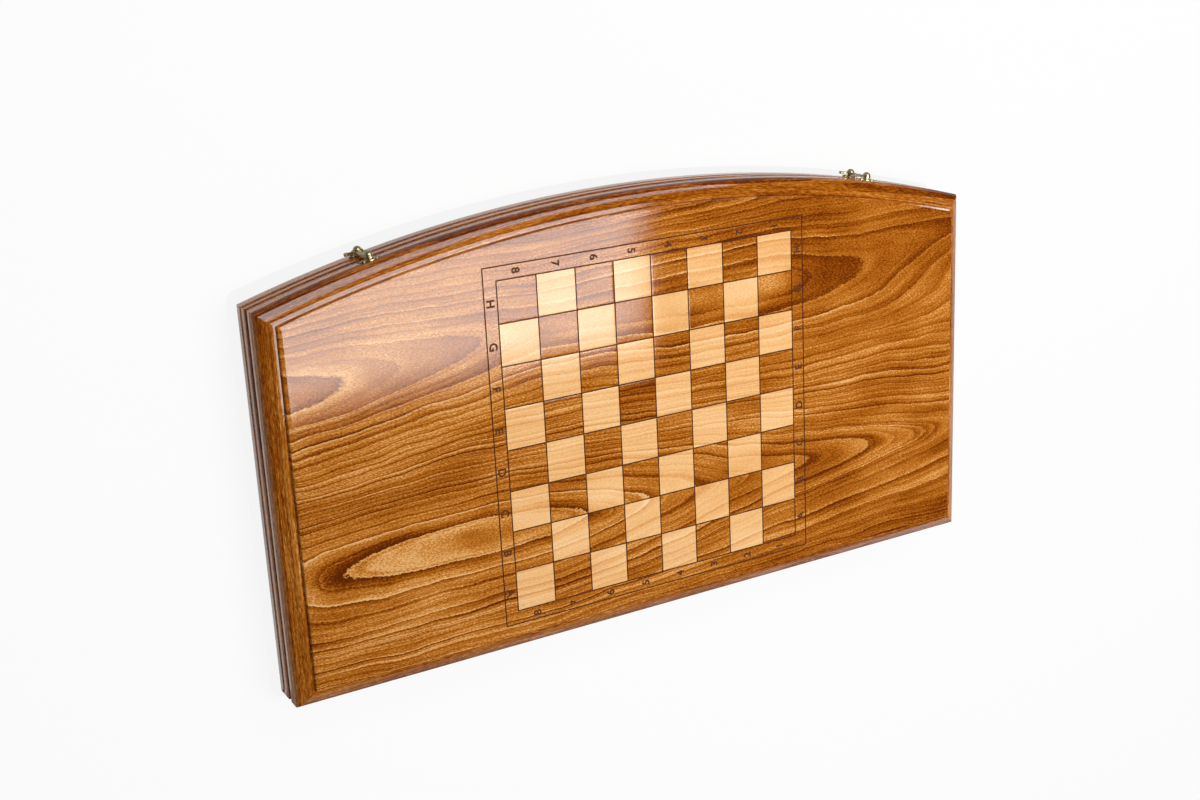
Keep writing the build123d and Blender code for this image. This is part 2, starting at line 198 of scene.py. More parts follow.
def lacquer(tree, shader, colour, vessel):
    """Clear gloss lacquer on wood, with a fine orange peel and the open grain felt through it."""
    tree.links.new(colour, shader.inputs["Base Color"])
    shader.inputs["Roughness"].default_value = 0.6
    shader.inputs["Specular IOR Level"].default_value = 0.0
    shader.inputs["Coat Weight"].default_value = 1.0
    shader.inputs["Coat Roughness"].default_value = 0.025
    shader.inputs["Coat IOR"].default_value = 1.56
    x, y, z = place_on_board(tree)
    peel = cloud(x * 0.5, y * 0.6, z * 0.5, 2.0)
    skin = tree.nodes.new("ShaderNodeBump")
    skin.inputs["Strength"].default_value = 0.16
    skin.inputs["Distance"].default_value = 0.0001
    tree.links.new((peel * 0.9 + vessel * 0.8).socket, skin.inputs["Height"])
    tree.links.new(skin.outputs[0], shader.inputs["Normal"])
    tree.links.new(skin.outputs[0], shader.inputs["Coat Normal"])


stain_tones = [
    (0.0, dye(96, 38, 2)),
    (0.15, dye(134, 61, 3)),
    (0.3, dye(154, 80, 9)),
    (0.45, dye(173, 97, 20)),
    (0.6, dye(191, 115, 36)),
    (0.75, dye(209, 137, 58)),
    (0.9, dye(226, 160, 86)),
    (1.0, dye(240, 186, 122)),
]


def between(field):
    """The field held between 0 and 1."""
    return field.step("MAXIMUM", 0.0).step("MINIMUM", 1.0)


def rising(field, start, rate):
    """0 up to the start, rising from there at that rate to 1."""
    return between((field - start) * rate)


def falling(field, end, rate):
    """0 from the end on, and higher before it by that rate, up to 1."""
    return between((end - field) * rate)


def close_to(field, middle, rate, height=1.0):
    """The height at the middle, falling on both sides at that rate, held between 0 and 1."""
    return between(height - (field - middle).step("ABSOLUTE") * rate)


def centred(field, spread):
    """Noise about nought, stretched so that the whole of it is as wide as the spread."""
    return (field - 0.5) * spread


def ring_shade(phase, ramp, light_line, dark_line):
    """Level of one family of growth rings about nought.

    Inside a ring the wood grows lighter towards its outer edge, by an amount of the ring's own;
    the edge itself may be a thin light line, and dark wood may follow it and fade."""
    share, dice = growth_rings(phase)
    other_dice = (dice * 7.31).step("FRACT")
    light = rising(share, 0.88, 12.0) * other_dice * other_dice
    dark = ((0.42 - share) * 2.7).step("MAXIMUM", 0.0) * other_dice
    return centred(share, ramp) * dice + light * light_line - dark * dark_line


def wood_level(phase, along, across, depth, contrast):
    """How light the wood is about nought, and its pores, from the ring phase and the place.

    Two finer families of rings run between the main ones, the finest without lines, and
    streaks lie along the rings; flecks and pores along the grain are noise, and the deepest
    pores are dark specks."""
    finest_share, finest_dice = growth_rings(phase * 7.3)
    rings = ring_shade(phase, 0.6, 0.3, 0.36) + ring_shade(phase * 2.7 + 0.3, 0.34, 0.12, 0.14)
    rings = rings + centred(finest_share, 0.14) * finest_dice
    streak = cloud(along * 0.012, phase * 1.9, depth * 0.05, 3.0, 0.6)
    vessel = pores(along, across, depth)
    fleck = cloud(along * 0.5 + across * 0.4, across * 0.9 - along * 0.15, depth, 3.0, 0.75)
    specks = falling(vessel, 0.43, 7.0)
    level = rings * contrast + centred(streak, 0.9) + centred(fleck, 1.7) + centred(vessel, 0.6)
    return level - specks * 0.14 + 0.06, vessel


def rail_wood(name, direction, seed, tone, crown_painted_shade):
    """Straight-grained rail, as light as the tone: rings rise evenly across the grain, bent by
    slow noise, and its flecks are longer than a board's.

    Painted shade darkens the colour along the seam between the trays and, by the amount given,
    round the crown, where the crown mirrors a dim room."""
    material, tree, shader = new_finish(name)
    x, y, z = place_on_board(tree)
    if direction == "along_x":
        along, across = x, y
    elif direction == "along_y":
        along, across = y, x
    else:
        from_centre = y - arch_centre_y
        across = (x * x + from_centre * from_centre).step("SQRT") - arch_radius
        along = x.step("ARCTAN2", from_centre) * arch_radius
    drift = cloud(along * 0.004 + seed, across * 0.02, z * 0.02)
    phase = across * 0.3 + z * 0.2 + drift * 4.0
    level, vessel = wood_level(phase, along * 0.4, across, z, 0.5)
    shadow = cloud(along * 0.012, across * 0.1 + seed, z * 0.1)
    # Painted shade: the colour is darkened along the seam between the trays and round the crown.
    seam = close_to(z, case_height / 2, 0.4)
    crown = close_to(z, crown_foot + 3.0, 0.4, 1.6)
    level = level + centred(shadow, 0.9) - seam * 0.4 - crown * crown_painted_shade + tone
    lacquer(tree, shader, shade(level, stain_tones), vessel)
    return material


def dress(names, material):
    """Gives every CAD node named the finished material."""
    for name in names:
        for slot in nodes[name].material_slots:
            slot.material = material


def round_points(start, direction, end, count):
    """Points along the circular arc that leaves start in that direction and reaches end.

    The arc turns through twice the angle between its first direction and its chord."""
    first = np.array(direction) / np.hypot(*direction)
    side = np.array([-first[1], first[0]])
    chord = np.array(end) - np.array(start)
    bend = 2 * (chord @ side) / (chord @ chord)
    angle = np.linspace(0, 2 * math.atan2(chord @ side, chord @ first), count)[:, None]
    return np.array(start) + (np.sin(angle) * first + (1 - np.cos(angle)) * side) / bend


def lid_section():
    """Ogee profile of a lid rail: a strip that falls outwards and laps over the edge of the
    panel, cove, round crown, plain side and rounded seam edge."""
    cosine, sine = math.cos(crown_turn), math.sin(crown_turn)
    crown_start = (moulding_width - crown_radius * (1 - cosine), crown_foot + crown_radius * sine)
    strip = case_height - face_step
    strip_end = (rebate + strip_width, strip - strip_fall)
    under_lip = strip - lip_drop
    under_panel = case_height - panel_thickness
    seam_start = (moulding_width, seam_lid + lid_seam_round)
    seam_end = (moulding_width - lid_seam_round, seam_lid)
    return np.concatenate([
        [(-rail_lip, seam_lid), (-rail_lip, under_panel), (rebate, under_panel)],
        [(rebate, under_lip), (lip_reach, under_lip)],
        round_points((lip_reach, strip - arris), (0, 1), (lip_reach + arris, strip), 4),
        round_points(crown_start, (-sine, cosine), strip_end, 14)[::-1],
        round_points(crown_start, (sine, -cosine), (moulding_width, crown_foot), 14)[1:],
        round_points(seam_start, (0, -1), seam_end, 10),
    ])


def base_section():
    """Profile of a base rail: rebate for the bottom panel, rounded seam edge and round foot."""
    seam_start = (moulding_width, seam_base - base_seam_round)
    seam_end = (moulding_width - base_seam_round, seam_base)
    return np.concatenate([
        [(rebate, 0.0), (rebate, panel_thickness)],
        [(-rail_lip, panel_thickness), (-rail_lip, seam_base)],
        round_points(seam_start, (0, 1), seam_end, 8)[::-1],
        round_points((moulding_width, foot_round), (0, -1), (moulding_width - foot_round, 0.0), 14),
    ])


def arch_rail_rings(section, count):
    """The profile turned about the centre of the arch, each point as far as its own mitre."""
    reach, height = section[:, 0], section[:, 1]
    radius = arch_radius + reach
    angle = np.linspace(-1, 1, count)[:, None] * np.arcsin((half_width + reach) / radius)
    y = arch_centre_y + radius * np.cos(angle)
    return np.stack([radius * np.sin(angle), y, height + 0 * angle], -1)


def end_rail_rings(section, side):
    """The profile carried straight along Y from mitre to mitre, at the left or right end."""
    reach, height = section[:, 0], section[:, 1]
    arch_end = arch_centre_y + np.sqrt((arch_radius + reach) ** 2 - (half_width + reach) ** 2)
    y = np.stack([face_low - reach, arch_end])
    return np.stack([side * (half_width + reach) + 0 * y, y, height + 0 * y], -1)


def carried_faces(rings):
    """Quads between neighbouring rings of a closed profile and one face over each end."""
    count, around, _ = rings.shape
    index = np.arange(count * around).reshape(count, around)
    after = np.roll(index, -1, 1)
    quads = np.stack([index[:-1], after[:-1], after[1:], index[1:]], -1).reshape(-1, 4)
    return quads.tolist() + [index[0].tolist(), index[-1].tolist()]


def make_piece(name, points, faces, body, material, crease=25.0):
    """Mesh object at the origin from points in millimetres, riding on a body.

    Faces are turned outwards and shaded smooth, save across edges that bend by more degrees
    than the crease."""
    mesh = bpy.data.meshes.new(name)
    mesh.from_pydata((points.reshape(-1, 3) * mm).tolist(), [], faces)
    shape = bmesh.new()
    shape.from_mesh(mesh)
    bmesh.ops.recalc_face_normals(shape, faces=shape.faces)
    shape.to_mesh(mesh)
    shape.free()
    mesh.polygons.foreach_set("use_smooth", np.ones(len(mesh.polygons), bool))
    mesh.set_sharp_from_angle(angle=math.radians(crease))
    mesh.materials.append(material)
    piece = bpy.data.objects.new(name, mesh)
    bpy.context.scene.collection.objects.link(piece)
    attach(piece, body)
    return piece


hinge_rail_wood = rail_wood("case_wood_hinge_rails", "along_x", 3.0, 0.38, 0.1)
arch_rail_wood = rail_wood("case_wood_arch_rails", "round_arch", 11.0, 0.38, 0.34)
end_rail_wood = rail_wood("case_wood_end_rails", "along_y", 19.0, 0.45, 0.06)
dress(["base_hinge_rail", "lid_hinge_rail"], hinge_rail_wood)
for body, section in (("base", base_section()), ("lid", lid_section())):
    runs = [
        ("arch", arch_rail_rings(section, 161), arch_rail_wood),
        ("left", end_rail_rings(section, -1), end_rail_wood),
        ("right", end_rail_rings(section, 1), end_rail_wood),
    ]
    for run, rings, wood in runs:
        faces = carried_faces(rings)
        rail = make_piece(f"{body}_moulding_{run}", rings, faces, body, wood)
        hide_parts(f"{body}_{run}_rail")


# Bottom panel of the base tray. One figured beech board, stained and lacquered as the rails
# are, let into their rebate; it is the underside of the closed case. The places in its figure
# are in chess squares from the lower left corner of the grid.
square = 31.6
grid_centre_y = -7.0
flame_x = -1.0
flame_reach = 3.6
lower_axis_y = 2.05
axis_distance = 4.6
bundle_y = 3.9
valley_x = 10.3
first_ring = 58.56


def figured_phase(x, y, z, seed):
    """Ring phase of a board cut near the bark.

    The phase is a cosine across the grain, with a period of twice the distance between the
    lower axis and the upper one, whose height changes slowly along it. Along the lower axis it
    rises both ways from the middle of the long flame, first as a square, then evenly and far
    off less, so its rings are nested tongues. Further right the tongues are made narrower by a
    dip along the axis, and in the upper part the rings climb to the right beyond a valley; over
    the flame they climb slightly. A bundle of close rings, an arctangent across the grain,
    slants down between the axes.
    Also returns how close the rings lie, from 0 on an axis to 1 between two."""
    slow = cloud(x * 0.16 + seed, y * 0.35, z * 0.1, 1.0)
    bend = cloud(x * 0.7, y * 1.1 + seed, z * 0.1, 2.0)
    fray = cloud(x * 9.0, y * 14.0, z * 0.1 + seed, 3.0, 0.75)
    past_valley = x - valley_x
    climb = ((past_valley * past_valley + 1.0).step("SQRT") + past_valley) * 0.2
    climb = climb * rising(y, 5.0, 0.7) * falling(y, 8.6, 0.6)
    tilt = x.step("MINIMUM", 0.0) * rising(y, 2.6, 0.8) * 0.08
    across = y + centred(slow, 0.5) + centred(bend, 0.2) - tilt - climb
    off_axis = across - lower_axis_y
    narrow = off_axis * off_axis
    narrow = narrow / (narrow + 0.45) * rising(x, 1.0, 0.15) * 2.2
    wave = (off_axis * (math.pi / axis_distance)).step("COSINE")
    from_flame = (x - flame_x).step("ABSOLUTE")
    near = from_flame.step("MINIMUM", flame_reach)
    rise = near * near * 0.046 + (from_flame - flame_reach).step("MAXIMUM", 0.0) * 0.72
    rise = rise - (from_flame - 7.0).step("MAXIMUM", 0.0) * 0.2
    crest = wave.step("MAXIMUM", 0.0)
    trough = wave.step("MINIMUM", 0.0)
    bundle = ((across + x * 0.04 - bundle_y) * 2.5).step("ARCTANGENT") * 1.9 + 2.6
    arches = crest * rise + trough * x * 0.3 - wave * 9.0
    phase = arches + bundle + narrow + centred(fray, 0.2) + first_ring
    return phase, 1.0 - wave * wave


def figured_wood(x, y, z, seed):
    """How light a figured board is, 0 to 1, and its pores.

    Its rings are faint in the upper left and upper right parts. The upper edge, both right
    corners, a band over the long flame and a stripe close above it are darker, and the left
    end is a little paler."""
    phase, closeness = figured_phase(x, y, z, seed)
    quiet = rising(y, 5.0, 0.5) * falling(x, 4.0, 0.3) * 0.45
    quiet = quiet + rising(y, 4.0, 0.4) * rising(x, 7.5, 0.4) * 0.5
    contrast = (closeness * 0.15 + 0.85) * (1.14 - x * 0.02) * (1.0 - quiet)
    level, vessel = wood_level(phase, x * square, y * square, z, contrast)
    patch = cloud(x * 0.3 + seed, y * 0.8, z * 0.1, 3.0, 0.6)
    corners = rising(y, 5.0, 0.6) * 0.17 + falling(y, 2.0, 0.6) * 0.15
    shadow = corners * rising(x, 6.0, 0.33) + rising(y, 7.2, 0.7) * 0.1
    band = close_to(y, 3.75, 0.9) * 0.13
    stripe = close_to(y - x * 0.114, 2.86, 4.0) * 0.18
    left_end = (0.09 - band - stripe) * falling(x, 0.75, 0.4)
    return level + centred(patch, 0.9) - shadow + left_end + 0.5, vessel


def panel_wood(name, seed):
    """Figured board with nothing marked on it."""
    material, tree, shader = new_finish(name)
    x, y, z = place_on_board(tree)
    level, vessel = figured_wood(x / square + 4.0, (y - grid_centre_y) / square + 4.0, z, seed)
    lacquer(tree, shader, shade(level, stain_tones), vessel)
    return material


dress(["base_panel"], panel_wood("case_wood_bottom", 7.3))


# Playing fields and points. A thin beech board lies in each tray, finished lighter than the
# case, with twelve points let in flush: six dark and six pale.
def field_wood(name, dark, light, seed):
    """Even straight-grained veneer between two tones."""
    material, tree, shader = new_finish(name)
    x, y, z = place_on_board(tree)
    drift = cloud(x * 0.004 + seed, y * 0.02, z * 0.1, 1.0)
    share, dice = growth_rings(y * 0.16 + drift * 6.0)
    vessel = pores(x, y, z)
    streak = cloud(x * 0.03, y * 0.9, z, 3.0)
    tone = share * 0.4 + streak * 0.4 + dice * 0.1 + vessel * 0.2
    colour = shade(tone, [(0.2, dye(*dark)), (0.9, dye(*light))])
    lacquer(tree, shader, colour, vessel)
    return material


field_beech = field_wood("field_wood", (186, 124, 62), (226, 172, 106), 2.0)
dark_inlay = field_wood("dark_inlay", (84, 40, 14), (124, 66, 26), 5.0)
light_inlay = field_wood("light_inlay", (236, 196, 138), (252, 222, 174), 9.0)
dress(["base_field", "lid_field"], field_beech)
dress(["base_points_dark", "lid_points_dark"], dark_inlay)
dress(["base_points_light", "lid_points_light"], light_inlay)


# Chess panel of the lid. One figured board raised above the rails with a bevelled edge; the
# grid and its border are routed lines, and the light squares were masked from the stain.
ledge_reach = 1.2
ledge_height = case_height - face_step - lip_drop - 0.1
side_foot = 0.5
edge_radius = 0.4
line_width = 1.0
line_slope = 0.28
line_depth = 0.5
shoulder_width = 1.6
shoulder_drop = 0.03
soft_edge_width = 5.0
soft_edge_drop = 0.55
grid_half = 4 * square
border_half = grid_half + 10.3
sink = 0.04
face_top = case_height - sink
near_edge = np.array([edge_radius, 1.0, 1.8, 3.0, soft_edge_width])
rim_tilt = np.radians([80.0, 55.0, 30.0])
rim_reach = np.concatenate([[ledge_reach, side_foot], edge_radius * (np.sin(rim_tilt) - 1)])
edge_top = face_top - soft_edge_drop * (1 - edge_radius / soft_edge_width) ** 2
rim_height = np.append(np.full(2, ledge_height), edge_top - edge_radius * (1 - np.cos(rim_tilt)))


def arch_height(x, reach):
    """Y of the arch over a place along the board, for an outline that far outside."""
    return arch_centre_y + np.sqrt((arch_radius + reach) ** 2 - x**2)


def line_profile(distance, end_distance):
    """Depth of a routed line at a distance from its middle, with the distance left to its end.

    It is full on its floor and falls evenly over its slopes; outside them the lacquer dips
    towards it by the square of the nearness."""
    beyond = np.maximum(np.abs(distance), -end_distance) - line_width / 2
    groove = line_depth * np.clip(-beyond / line_slope, 0, 1)
    shoulder = shoulder_drop * np.clip(1 - beyond / shoulder_width, 0, 1) ** 2
    return np.maximum(groove, shoulder)


def line_breaks():
    """Places across the grid where the surface folds: the slopes and shoulders of each line."""
    middles = np.concatenate([np.arange(-4, 5) * square, [-border_half, border_half]])
    half = line_width / 2
    shoulder = half + shoulder_width * np.array([0.33, 0.67, 1.0])
    folds = np.concatenate([[half - line_slope, half], shoulder])
    folds = np.concatenate([-folds[::-1], folds])
    return np.sort((middles[:, None] + folds[None, :]).ravel())


def panel_columns(folds):
    """X of every column: the folds of the lines, an even spread, and the rings of each end."""
    even = np.linspace(-half_width + 8, half_width - 8, 61)
    inner = [folds, even, near_edge - half_width, half_width - near_edge]
    inner = np.unique(np.concatenate(inner))
    return np.concatenate([-half_width - rim_reach, inner, half_width + rim_reach[::-1]])


def panel_rows(x, folds):
    """Y of every row over those columns: the folds of the lines, and the rings of each side.

    Beyond the border, at both ends, all rows are squeezed towards the straight edge by the
    height of the arch there over its height at the border's corner; above the border they
    are spread evenly between it and the arch."""
    reach_x = np.abs(x)
    top = arch_height(np.minimum(reach_x, half_width), 0)
    corner_top = arch_height(folds[-1], 0)
    squeeze = np.where(reach_x > folds[-1], (top - face_low) / (corner_top - face_low), 1.0)
    level = folds + grid_centre_y - face_low
    level = np.concatenate([near_edge, [(soft_edge_width + level[0]) / 2], level])
    rows = [np.full_like(x, face_low - reach) for reach in rim_reach]
    rows += [face_low + rise * squeeze for rise in level]
    last = rows[-1]
    rows += [last + share * (top - soft_edge_width - last) for share in (0.25, 0.5, 0.75, 1.0)]
    rows += [top - distance for distance in near_edge[-2::-1]]
    rows += [arch_height(reach_x, reach) for reach in rim_reach[::-1]]
    return np.stack(rows)


def panel_height(x, y):
    """Z over a grid of places: the face, less the deepest routed line and a drop towards the
    edge that grows as the square of the nearness.

    The outer rings of points go round a small quarter circle, down the side and out along the
    ledge, which at the hinge side meets the strip."""
    across = y - grid_centre_y
    near_x = x - np.clip(np.round(x / square), -4, 4) * square
    near_y = across - np.clip(np.round(across / square), -4, 4) * square
    depth = np.maximum.reduce([
        line_profile(near_x, grid_half - np.abs(across)),
        line_profile(near_y, grid_half - np.abs(x)),
        line_profile(np.abs(x) - border_half, border_half - np.abs(across)),
        line_profile(np.abs(across) - border_half, border_half - np.abs(x)),
    ])
    top = arch_height(np.minimum(np.abs(x), half_width), 0)
    to_edge = np.minimum.reduce([half_width - np.abs(x), y - face_low, top - y])
    drop = soft_edge_drop * np.clip(1 - to_edge / soft_edge_width, 0, 1) ** 2
    z = face_top - np.maximum(depth, drop)
    row, column = np.indices(z.shape)
    from_rim_y = np.minimum(row, z.shape[0] - 1 - row)
    from_rim_x = np.minimum(column, z.shape[1] - 1 - column)
    ring_of = np.minimum(from_rim_x, from_rim_y)
    for number, height in enumerate(rim_height):
        z[ring_of == number] = height
    z[:2] = case_height - face_step
    return z


def closed_sheet(rows, columns):
    """Quads of a grid of points, of its copy below, and of the wall that joins their edges."""
    index = np.arange(rows * columns).reshape(rows, columns)
    cell = np.stack([index[:-1, :-1], index[:-1, 1:], index[1:, 1:], index[1:, :-1]], -1)
    cell = cell.reshape(-1, 4)
    ring = np.concatenate([index[0, :-1], index[:-1, -1], index[-1, :0:-1], index[:0:-1, 0]])
    after = np.roll(ring, -1)
    below = rows * columns
    wall = np.stack([ring + below, after + below, after, ring], -1)
    return np.concatenate([cell, cell[:, ::-1] + below, wall])


def build_chess_panel():
    """Grid of points on the face, flattened into a copy at the underside, and its quads; also
    says which quads lie in a routed line, by their lowest corner and their place."""
    folds = line_breaks()
    columns = panel_columns(folds)
    y = panel_rows(columns, folds)
    x = np.broadcast_to(columns, y.shape)
    top_points = np.stack([x, y, panel_height(x, y)], -1).reshape(-1, 3)
    low_points = top_points * [1, 1, 0] + [0, 0, case_height - panel_thickness]
    points = np.concatenate([top_points, low_points])
    faces = closed_sheet(*y.shape)
    corners = points[faces]
    middle = np.abs(corners.mean(1) - [0, grid_centre_y, 0])
    deepest, highest = corners[:, :, 2].min(1), corners[:, :, 2].max(1)
    in_line = np.maximum(middle[:, 0], middle[:, 1]) < folds[-1]
    in_line &= (highest > case_height - face_step) & (deepest < face_top - line_depth / 2)
    return points, faces.tolist(), in_line


def blend(amount, first, second):
    """Mixes two colours by a field. A Mix node takes colours at its sockets 6 and 7."""
    tree = first.id_data
    node = tree.nodes.new("ShaderNodeMix")
    node.data_type = "RGBA"
    tree.links.new(amount.socket, node.inputs[0])
    tree.links.new(first, node.inputs[6])
    tree.links.new(second, node.inputs[7])
    return node.outputs[2]


pale_tones = [
    (0.0, dye(226, 158, 92)),
    (0.3, dye(240, 180, 114)),
    (0.55, dye(246, 192, 130)),
    (0.8, dye(250, 203, 146)),
    (1.0, dye(253, 214, 164)),
]


def chess_wood(name, seed):
    """Figured board with pale squares inside the grid; one dark square took more of the stain."""
    material, tree, shader = new_finish(name)
    x_mm, y_mm, z = place_on_board(tree)
    x = x_mm / square + 4.0
    y = (y_mm - grid_centre_y) / square + 4.0
    level, vessel = figured_wood(x, y, z, seed)
    column, row = x.step("FLOOR"), y.step("FLOOR")
    darkest = column.step("COMPARE", 3.0, 0.1) * row.step("COMPARE", 4.0, 0.1)
    stained = shade(level - darkest * 0.28, stain_tones)
    pale = shade(level, pale_tones)
    odd = (column + row).step("MODULO", 2.0).step("ABSOLUTE")
    inside = x.step("GREATER_THAN", 0.0) * x.step("LESS_THAN", 8.0)
    inside = inside * y.step("GREATER_THAN", 0.0) * y.step("LESS_THAN", 8.0)
    left_pale = odd.step("LESS_THAN", 0.5) * inside
    lacquer(tree, shader, blend(left_pale, stained, pale), vessel)
    return material


def burnt_wood(name):
    """Wood browned by the cutter in a routed line or sign, with hardly any lacquer in it."""
    material, tree, shader = new_finish(name)
    x, y, z = place_on_board(tree)
    char = cloud(x * 0.5, y * 0.5, z, 4.0, 0.7)
    colour = shade(char, [(0.3, dye(60, 26, 8)), (0.7, dye(112, 60, 26))])
    tree.links.new(colour, shader.inputs["Base Color"])
    shader.inputs["Roughness"].default_value = 0.7
    shader.inputs["Specular IOR Level"].default_value = 0.2
    return material


points, faces, in_line = build_chess_panel()
panel_finish = chess_wood("chess_panel_wood", 0.0)
chess_panel = make_piece("chess_panel", points, faces, "lid", panel_finish, 30.0)
chess_panel.data.materials.append(burnt_wood("routed_line_wood"))
chess_panel.data.polygons.foreach_set("material_index", in_line.astype(np.int32))
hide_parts("lid_panel")


# Squares' names. Letters and digits are burnt into the border beside every row and column,
# turned to read from the two ends of the board; plain upright type about 6 mm high.
letter_height = 6.2
capital_share = 0.7
stroke_growth = 0.28
band_middle = grid_half + 5.4


def letter_mesh(text, x, y, turn):
    """One sign as a thin tile, turned about its middle: its points in metres, the corners of
    its faces and the number of corners of each."""
    curve = bpy.data.curves.new("sign", "FONT")
    curve.body = text
    curve.size = letter_height * mm / capital_share
    curve.offset = stroke_growth * mm
    curve.align_x = "CENTER"
    curve.align_y = "CENTER"
    curve.extrude = sink * mm / 2
    curve.resolution_u = 4
    carrier = bpy.data.objects.new("sign", curve)
    bpy.context.scene.collection.objects.link(carrier)
    bpy.context.view_layer.update()
    depsgraph = bpy.context.evaluated_depsgraph_get()
    mesh = bpy.data.meshes.new_from_object(carrier.evaluated_get(depsgraph))
    bpy.data.objects.remove(carrier)
    bpy.data.curves.remove(curve)
    spots = np.zeros(len(mesh.vertices) * 3)
    mesh.vertices.foreach_get("co", spots)
    spots = spots.reshape(-1, 3)
    centre = (spots.min(0) + spots.max(0)) / 2
    spots = spots - centre
    cosine, sine = math.cos(turn), math.sin(turn)
    turned = np.stack([
        spots[:, 0] * cosine - spots[:, 1] * sine + x * mm,
        spots[:, 0] * sine + spots[:, 1] * cosine + y * mm,
        spots[:, 2] + (case_height - sink / 2) * mm,
    ], -1)
    corners = np.zeros(len(mesh.loops), dtype=np.int32)
    mesh.loops.foreach_get("vertex_index", corners)
    lengths = np.zeros(len(mesh.polygons), dtype=np.int32)
    mesh.polygons.foreach_get("loop_total", lengths)
    bpy.data.meshes.remove(mesh)
    return turned, corners, lengths


all_points, all_corners, all_lengths = [], [], []
for place in range(8):
    offset = (place - 3.5) * square
    row_y = offset + grid_centre_y
    signs = [
        ("ABCDEFGH"[place], -band_middle, row_y, -math.pi / 2),
        ("ABCDEFGH"[place], band_middle, row_y, math.pi / 2),
        ("87654321"[place], offset, band_middle + grid_centre_y, -math.pi / 2),
        ("87654321"[place], offset, -band_middle + grid_centre_y, math.pi / 2),
    ]
    for text, x, y, turn in signs:
        spots, corners, lengths = letter_mesh(text, x, y, turn)
        all_corners.append(corners + sum(len(part) for part in all_points))
        all_points.append(spots)
        all_lengths.append(lengths)
sign_faces = np.split(np.concatenate(all_corners), np.cumsum(np.concatenate(all_lengths))[:-1])
lettering_mesh = bpy.data.meshes.new("border_lettering")
lettering_mesh.from_pydata(np.concatenate(all_points).tolist(), [], sign_faces)
lettering_mesh.update()
lettering_mesh.materials.append(burnt_wood("burnt_lettering"))
lettering = bpy.data.objects.new("border_lettering", lettering_mesh)
bpy.context.scene.collection.objects.link(lettering)
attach(lettering, "lid")


# Hinges. Two brass butt hinges let into the seam along the straight edge, each of two folded
# leaves on a pin, held by three countersunk screws a leaf.
def aged_brass(name, bright, worn, gloss):
    """Brass gone olive and brown, still bright where it is handled."""
    material, tree, shader = new_finish(name)
    x, y, z = place_on_board(tree)
    patina = cloud(x * 0.6, y * 0.6, z * 0.6, 4.0, 0.6)
    scuff = cloud(x * 3.0, y * 3.0, z * 3.0, 3.0, 0.6)
    colour = shade(patina * 0.7 + scuff * 0.3, [(0.35, dye(*worn)), (0.6, dye(*bright))])
    tree.links.new(colour, shader.inputs["Base Color"])
    shader.inputs["Metallic"].default_value = 1.0
    rough = scuff * 0.2 + (gloss - 0.1)
    tree.links.new(rough.socket, shader.inputs["Roughness"])
    bump = tree.nodes.new("ShaderNodeBump")
    bump.inputs["Strength"].default_value = 0.25
    bump.inputs["Distance"].default_value = 0.00005
    tree.links.new(scuff.socket, bump.inputs["Height"])
    tree.links.new(bump.outputs[0], shader.inputs["Normal"])
    return material


hinge_brass = aged_brass("hinge_brass", (214, 184, 116), (150, 118, 62), 0.32)
hinge_nodes = ["base_hinge_screws", "lid_hinge_screws"]
for end in ("left", "right"):
    hinge_nodes += [f"{end}_hinge_base_leaf", f"{end}_hinge_lid_leaf", f"{end}_hinge_pin"]
dress(hinge_nodes, hinge_brass)


# Latches. A cast hook turns on a post on the lid and grips a stud on the base; posts and studs
# stand on small plates nailed to the arched rails.
latch_brass = aged_brass("latch_brass", (240, 228, 188), (134, 118, 76), 0.34)
latch_parts = ("pivot_plate", "pivot", "hook", "stud_plate", "stud")
latch_nodes = ["base_latch_nails", "lid_latch_nails"]
for end in ("left", "right"):
    latch_nodes += [f"{end}_latch_{part}" for part in latch_parts]
dress(latch_nodes, latch_brass)


# Studio. A white floor, a broad soft box over the board, a second one behind it that the
# moulding mirrors, a low white board in front, and a narrow strip light off the right end.
softbox_height = 1.5
softbox_x = (-0.12, 0.83)
softbox_y = (-0.4, 0.62)
floor_reach = 8.0


def stage_floor(material):
    """Flat square sheet that belongs to the set and not to the object."""
    mesh = bpy.data.meshes.new("floor")
    corners = np.array([(-1, -1, 0), (1, -1, 0), (1, 1, 0), (-1, 1, 0)]) * floor_reach
    mesh.from_pydata(corners.tolist(), [], [(0, 1, 2, 3)])
    mesh.materials.append(material)
    sheet = bpy.data.objects.new("floor", mesh)
    bpy.context.scene.collection.objects.link(sheet)


def grey(field):
    """The same field as a colour."""
    tree = field.socket.id_data
    join = tree.nodes.new("ShaderNodeCombineColor")
    for place in range(3):
        tree.links.new(field.socket, join.inputs[place])
    return join.outputs[0]


